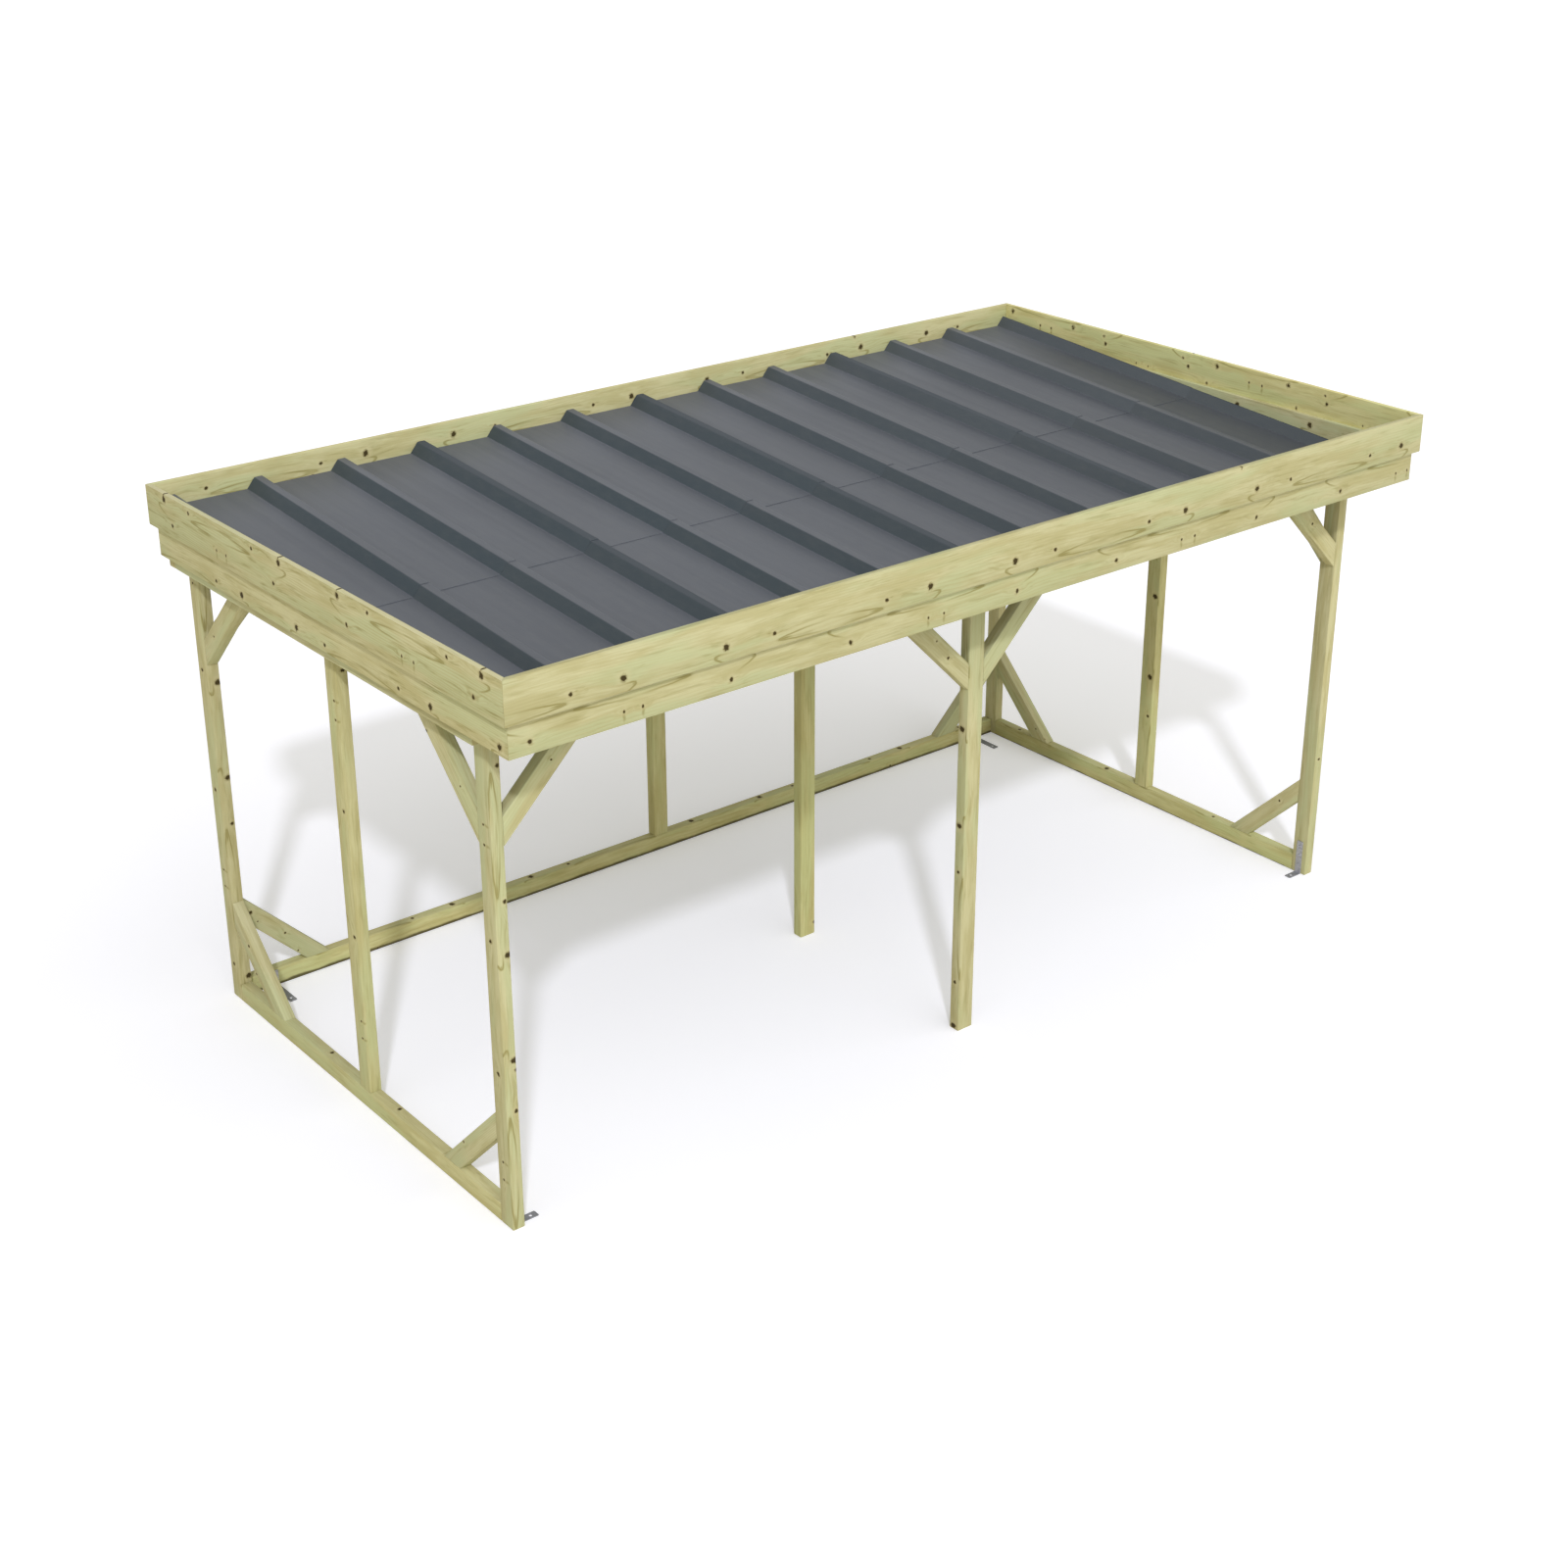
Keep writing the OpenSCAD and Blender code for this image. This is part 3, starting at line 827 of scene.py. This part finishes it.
for side in ("left", "right"):
    for level, up in (("lower", 1), ("upper", -1)):
        node = f"braces_{level}_{side}"
        low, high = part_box(node)
        z = low.z if up > 0 else high.z
        places = [([0, y, z], ((0, way, 0), (0, 0, up))) for y, way in ((low.y, 1), (high.y, -1))]
        addBraces(node, places, 0, bracePlan)
low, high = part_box("braces_lower_back")
places = [([x, 0, low.z], ((way, 0, 0), (0, 0, 1))) for x, way in ((low.x, 1), (high.x, -1))]
addBraces("braces_lower_back", places, 1, bracePlan)
for row in ("front", "back"):
    node = "braces_upper_" + row
    low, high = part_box(node)
    postLow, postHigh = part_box(f"post_{row}_middle")
    places = [([x, 0, high.z], ((way, 0, 0), (0, 0, -1)))
              for x, way in ((low.x, 1), (postLow.x, -1), (postHigh.x, 1), (high.x, -1))]
    addBraces(node, places, 1, bracePlan)
print("braces made")


# roof sheets
roofPlan = {
    "columns": 4,
    "ribs": 3,              # a sheet's last rib lies over its neighbour's first
    "pitch": 0.33333,
    "firstRib": -0.0046,    # from the posts' outer face
    "height": 0.039,
    "foot": 0.090,
    "crest": 0.030,
    "thickness": 0.0007,
    "fold": 0.0024,         # width of a rounded fold
    "foldSteps": 2,
    "lift": 0.001,          # from a sheet to the one that laps it
    "endLap": 0.166,
    "lip": (0.001, 0.0011), # the back sheets' front edge is pressed down
}


def faceUp(sheet, normals):
    # turns the sheet over where its upper side looks down
    if sum(normals) < 0:
        editMesh((bpy.ops.mesh.select_all, {"action": "SELECT"}), (bpy.ops.mesh.flip_normals, {}))


def extrudeBy(x, y, z):
    return bpy.ops.mesh.extrude_region_move, {"TRANSFORM_OT_translate": {"value": (x, y, z)}}


def foldSheet(name, corners, front, length, plan, lip):
    # one strip, then a fold after a fold along its edge
    pickNone()
    (x, z), (nextX, nextZ) = corners[:2]
    middle = (x + nextX) / 2
    bpy.ops.mesh.primitive_plane_add(size=1, location=(middle, front + length / 2, z))
    sheet = bpy.context.object
    sheet.scale = (nextX - x, length, 1)
    sheet.name = sheet.data.name = name
    applyPlace(sheet)
    selectPoints(sheet, lambda point: point.x > middle)
    editMesh((bpy.ops.transform.translate, {"value": (0, 0, nextZ - z)}),
             *(extrudeBy(nextX - x, 0, nextZ - z)
               for (x, z), (nextX, nextZ) in zip(corners[1:], corners[2:])))
    bevelFolds(sheet, plan["fold"], plan["foldSteps"], 20)
    if lip:
        selectPoints(sheet, lambda point: point.y < front + 0.0001)
        editMesh(extrudeBy(0, -lip[0], -lip[1]))
    faceUp(sheet, [face.normal.z * face.area for face in sheet.data.polygons])
    applyModifier(sheet, "SOLIDIFY", thickness=plan["thickness"], offset=1, use_even_offset=True)
    bpy.ops.object.shade_smooth_by_angle(angle=math.radians(35))
    return sheet


def ribHeight(x, plan):
    away = abs(x - plan["pitch"] * round(x / plan["pitch"]))
    rise = plan["height"] * (plan["foot"] / 2 - away) / ((plan["foot"] - plan["crest"]) / 2)
    return max(0.0, min(plan["height"], rise))


def withGuards(corners, guard):
    # a line either side of each fold keeps the flats flat
    guarded = [corners[0]]
    for (x, z), (nextX, nextZ) in zip(corners, corners[1:]):
        length = math.hypot(nextX - x, nextZ - z)
        if length > 3 * guard:
            for share in (guard / length, 1 - guard / length):
                guarded.append((x + (nextX - x) * share, z + (nextZ - z) * share))
        guarded.append((nextX, nextZ))
    return guarded


def addRoofColumn(number, plan):
    node = f"roof_sheets_{number}"
    low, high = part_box(node)
    beamLow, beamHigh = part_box("middle_beam")
    backLow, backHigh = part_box("back_beam")
    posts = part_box("post_front_left")[0]
    firstRib = posts.x + plan["firstRib"]
    pitch = math.atan((backHigh.z - beamHigh.z) / ((backLow.y + backHigh.y - beamLow.y - beamHigh.y) / 2))
    span = plan["ribs"] * plan["pitch"]
    first, last = (number - 1) * span, number * span
    start = low.x - firstRib
    end = high.x - firstRib
    lapping = last - plan["foot"] / 2 if number < plan["columns"] else end
    inner = [k * plan["pitch"] + side
             for k in range(plan["columns"] * plan["ribs"] + 1)
             for side in (-plan["foot"] / 2, -plan["crest"] / 2, plan["crest"] / 2, plan["foot"] / 2)]
    inner = [x for x in inner if start + 0.0001 < x < end - 0.0001]
    corners = [(firstRib + x, ribHeight(x, plan) + (plan["lift"] if x > lapping else 0.0))
               for x in [start, *inner, end]]
    corners = withGuards(corners, plan["fold"] * 1.3)
    total = (high.y - low.y) / math.cos(pitch) - (plan["height"] + 3 * plan["lift"]) * math.tan(pitch)
    middle = (beamHigh.y - low.y) / math.cos(pitch) - plan["height"] * math.tan(pitch)
    halves = (("front", 0.0, middle + plan["endLap"] / 2, 0.0, None),
              ("back", middle - plan["endLap"] / 2, total, 2 * plan["lift"], plan["lip"]))
    for label, near, far, raised, lip in halves:
        sheet = foldSheet(f"{node}_{label}", corners, near, far - near, plan, lip)
        sheet.rotation_euler = (pitch, 0, 0)
        sheet.location = (0, low.y + (plan["height"] + plan["thickness"]) * math.sin(pitch), low.z + raised)
        applyPlace(sheet)
        sheet.data.materials.append(coatedSteel)
        fitPiece(sheet, node)


steelShades = {
    "level": ((83, 87, 94), (90, 94, 101), (77, 81, 87)),   # two clouded ones, and a darker one for the right end, as painted light
    "shadedFlankTone": ((65, 74, 79), (78, 84, 88)),                  # a rib's flank in painted shade, and a lighter one for the right end
    # painted light towards the back
    "high": (96, 100, 107),
    "stain": (70, 74, 80),
    "dust": (120, 120, 114),
    "lapped": (62, 69, 75),
    # painted shadow line at a lapping sheet's edge
    "paintedLapShadow": (24, 28, 33),
}


def roofMaterial(plan, shades):
    material, tree, skin, place, facing = startMaterial("coatedSteel")
    along, back, up = splitVector(tree, place)
    x = maths(tree, "SUBTRACT", along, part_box("post_front_left")[0].x + plan["firstRib"])

    def fromRib(spacing):
        # signed distance to the nearest rib of those at this spacing
        turn = maths(tree, "FRACT", maths(tree, "ADD", maths(tree, "DIVIDE", x, spacing), 0.5))
        return maths(tree, "MULTIPLY", maths(tree, "SUBTRACT", turn, 0.5), spacing)

    # the crests where one sheet laps the next are darker and rougher, with a painted shadow line along the
    # lapping sheet's edge
    away = fromRib(plan["ribs"] * plan["pitch"])
    crest = spread(tree, maths(tree, "ABSOLUTE", away), 0.0135, 0.0175, 1.0, 0.0)
    edge = maths(tree, "ABSOLUTE", maths(tree, "SUBTRACT", away, 0.0155))
    lapped = maths(tree, "MULTIPLY", crest, spread(tree, x, 0.3, 0.4))
    # painted shadow: a thin dark line along the lapping sheet's edge
    paintedLapShadow = maths(tree, "MULTIPLY", spread(tree, edge, 0.0008, 0.0030, 1.0, 0.0), spread(tree, x, 1.2, 1.3))
    # painted shade: the ribs' flanks are coloured darker than what lies level
    near = maths(tree, "ABSOLUTE", fromRib(plan["pitch"]))
    inner, outer = plan["crest"] / 2, plan["foot"] / 2
    paintedFlankShade = maths(tree, "MULTIPLY", spread(tree, near, inner - 0.001, inner + 0.001),
                  spread(tree, near, outer - 0.001, outer + 0.001, 1.0, 0.0))
    cloud = spread(tree, noise(tree, place, (2.2, 1.1, 2.2), 4.0), 0.3, 0.7)
    stain = spread(tree, noise(tree, place, (34.0, 0.8, 5.0), 4.0, roughness=0.6), 0.42, 0.72)
    dust = spread(tree, noise(tree, place, (38.0, 14.0, 38.0), 5.0, roughness=0.7), 0.45, 0.8)
    # painted light: towards the right end the level parts turn darker and the flanks lighter
    paintedEndLight = spread(tree, x, 1.4, 3.7, smooth=True)
    # painted light: the level parts are lighter towards the back, making up for the back board's shade
    high = spread(tree, back, 0.55, 1.08, 0.0, 0.8, smooth=True)
    clear, clouded, paintedEndTone = (tone(*shade) for shade in shades["level"])
    level = blendColour(tree, paintedEndLight, blendColour(tree, cloud, clear, clouded), paintedEndTone)
    level = blendColour(tree, high, level, tone(*shades["high"]))
    shadedFlankTone = blendColour(tree, paintedEndLight, *(tone(*shade) for shade in shades["shadedFlankTone"]))
    colour = blendColour(tree, paintedFlankShade, level, shadedFlankTone)
    for mark, share, name in ((stain, 0.20, "stain"), (dust, 0.10, "dust"), (lapped, 0.85, "lapped"),
                              (paintedLapShadow, 1.0, "paintedLapShadow")):
        colour = blendColour(tree, maths(tree, "MULTIPLY", mark, share), colour, tone(*shades[name]))
    wire(tree, colour, skin.inputs["Base Color"])
    rough = spread(tree, maths(tree, "ADD", cloud, stain), 0.0, 2.0, 0.36, 0.44)
    rough = maths(tree, "ADD", rough, maths(tree, "MULTIPLY", lapped, 0.22))
    rough = maths(tree, "ADD", rough, maths(tree, "MULTIPLY", paintedLapShadow, 0.3), clamp=True)
    wire(tree, rough, skin.inputs["Roughness"])
    addBump(tree, skin, noise(tree, place, (900.0, 900.0, 900.0), 2.0), 0.03, 0.0004)
    skin.inputs["Specular IOR Level"].default_value = 0.16
    return material


coatedSteel = roofMaterial(roofPlan, steelShades)
for number in range(1, roofPlan["columns"] + 1):
    addRoofColumn(number, roofPlan)
print("roof sheets made")


# ground brackets
zincShades = {"grey": ((158, 159, 167), (192, 192, 201)), "mud": (128, 130, 133)}


def zincMaterial(shades):
    material, tree, skin, place, facing = startMaterial("hotDipZinc")
    flakes = tree.nodes.new("ShaderNodeTexVoronoi")
    flakes.inputs["Scale"].default_value = 160
    wire(tree, place, flakes.inputs["Vector"])
    grey = splitVector(tree, flakes.outputs["Color"])["X"]
    colour = blendColour(tree, grey, *(tone(*shade) for shade in shades["grey"]))
    # the feet are dull with mud
    cloud = spread(tree, noise(tree, place, (60.0, 60.0, 60.0), 4.0), 0.3, 0.7, 0.70, 0.95)
    mud = maths(tree, "MULTIPLY", spread(tree, splitVector(tree, facing)["Z"], 0.3, 0.9), cloud)
    colour = blendColour(tree, mud, colour, tone(*shades["mud"]))
    wire(tree, colour, skin.inputs["Base Color"])
    wire(tree, spread(tree, maths(tree, "ADD", grey, mud), 0.0, 2.0, 0.40, 0.72), skin.inputs["Roughness"])
    wire(tree, spread(tree, mud, 0.0, 1.0, 0.6, 0.15), skin.inputs["Metallic"])
    addBump(tree, skin, grey, 0.15, 0.0003)
    return material


bracketPlan = {
    "thick": 0.003,
    "bend": 0.0065,         # outer radius of the bend
    "corner": 0.004,
    "easing": 0.0004,
    "hole": 0.011,
    "holeFromToe": 0.024,
    "longLegScrews": (0.040, 0.082, 0.124),     # heights
    "shortLegScrews": (0.026, 0.051),
    "washer": (0.0072, 0.0012),                 # radius and thickness
    "head": (0.0052, 0.0036),
}


def makeScrew(plan):
    # hexagon head on a washer, looking up
    base = 0.0
    parts = []
    for sides, (radius, rise) in ((20, plan["washer"]), (6, plan["head"])):
        pickNone()
        bpy.ops.mesh.primitive_cylinder_add(vertices=sides, radius=radius, depth=rise,
                                            location=(0, 0, base + rise / 2))
        parts.append(bpy.context.object)
        base += rise
    parts[0].select_set(True)
    bpy.context.view_layer.objects.active = parts[0]
    bpy.ops.object.join()
    applyPlace(parts[0])
    bevelFolds(parts[0], plan["easing"], 2, 30)
    return parts[0]


def addBracket(node, axis, way, screw, plan):
    # a strip bent up against the timber; way is where the foot points along its axis
    low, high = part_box(node)
    heel, toe = (low[axis], high[axis]) if way > 0 else (high[axis], low[axis])
    middle = (low + high) / 2
    middle.z = low.z
    pickNone()
    bpy.ops.mesh.primitive_plane_add(size=1, location=middle)
    plate = bpy.context.object
    plate.name = plate.data.name = node + "_plate"
    plate.scale = (high.x - low.x, high.y - low.y, 1)
    applyPlace(plate)
    selectPoints(plate, lambda point: abs(point[axis] - heel) < 0.0001)
    editMesh(extrudeBy(0, 0, high.z - low.z))
    # both ends have rounded corners
    selectPoints(plate, lambda point: point.z > low.z + 0.001 or abs(point[axis] - toe) < 0.0001)
    editMesh((bpy.ops.mesh.bevel, {"offset": plan["corner"], "segments": 3, "affect": "VERTICES"}))
    foot = max(plate.data.polygons, key=lambda face: abs(face.normal.z) * face.area)
    faceUp(plate, [foot.normal.z])
    bevelFolds(plate, plan["bend"], 5, 30)
    applyModifier(plate, "SOLIDIFY", thickness=plan["thick"], offset=1)
    # the hole for a ground bolt
    spot = Vector(middle)
    spot[axis] = toe - way * plan["holeFromToe"]
    pickNone()
    bpy.ops.mesh.primitive_cylinder_add(vertices=24, radius=plan["hole"] / 2, depth=0.02, location=spot)
    drill = bpy.context.object
    pickOnly(plate)
    applyModifier(plate, "BOOLEAN", operation="DIFFERENCE", object=drill)
    bpy.data.objects.remove(drill)
    bevelFolds(plate, plan["easing"], 1, 50)
    bpy.ops.object.shade_smooth_by_angle(angle=math.radians(35))
    heads = []
    for height in plan["longLegScrews"] if high.z - low.z > 0.1 else plan["shortLegScrews"]:
        head = screw.copy()
        head.data = screw.data.copy()
        bpy.context.collection.objects.link(head)
        head.location = middle
        head.location[axis] = heel + way * plan["thick"]
        head.location.z = height
        head.rotation_euler = (0, way * math.pi / 2, 0) if axis == 0 else (-way * math.pi / 2, 0, 0)
        applyPlace(head)
        heads.append(head)
    pickOnly(plate)
    for head in heads:
        head.select_set(True)
    bpy.ops.object.join()
    return plate


hotDipZinc = zincMaterial(zincShades)
screw = makeScrew(bracketPlan)
for side, way in (("left", 1), ("right", -1)):
    for node, axis, towards in (("bracket_front_" + side, 0, way), ("bracket_back_" + side, 1, -1)):
        plate = addBracket(node, axis, towards, screw, bracketPlan)
        plate.data.materials.append(hotDipZinc)
        fitPiece(plate, node)
bpy.data.objects.remove(screw)
print("brackets made")
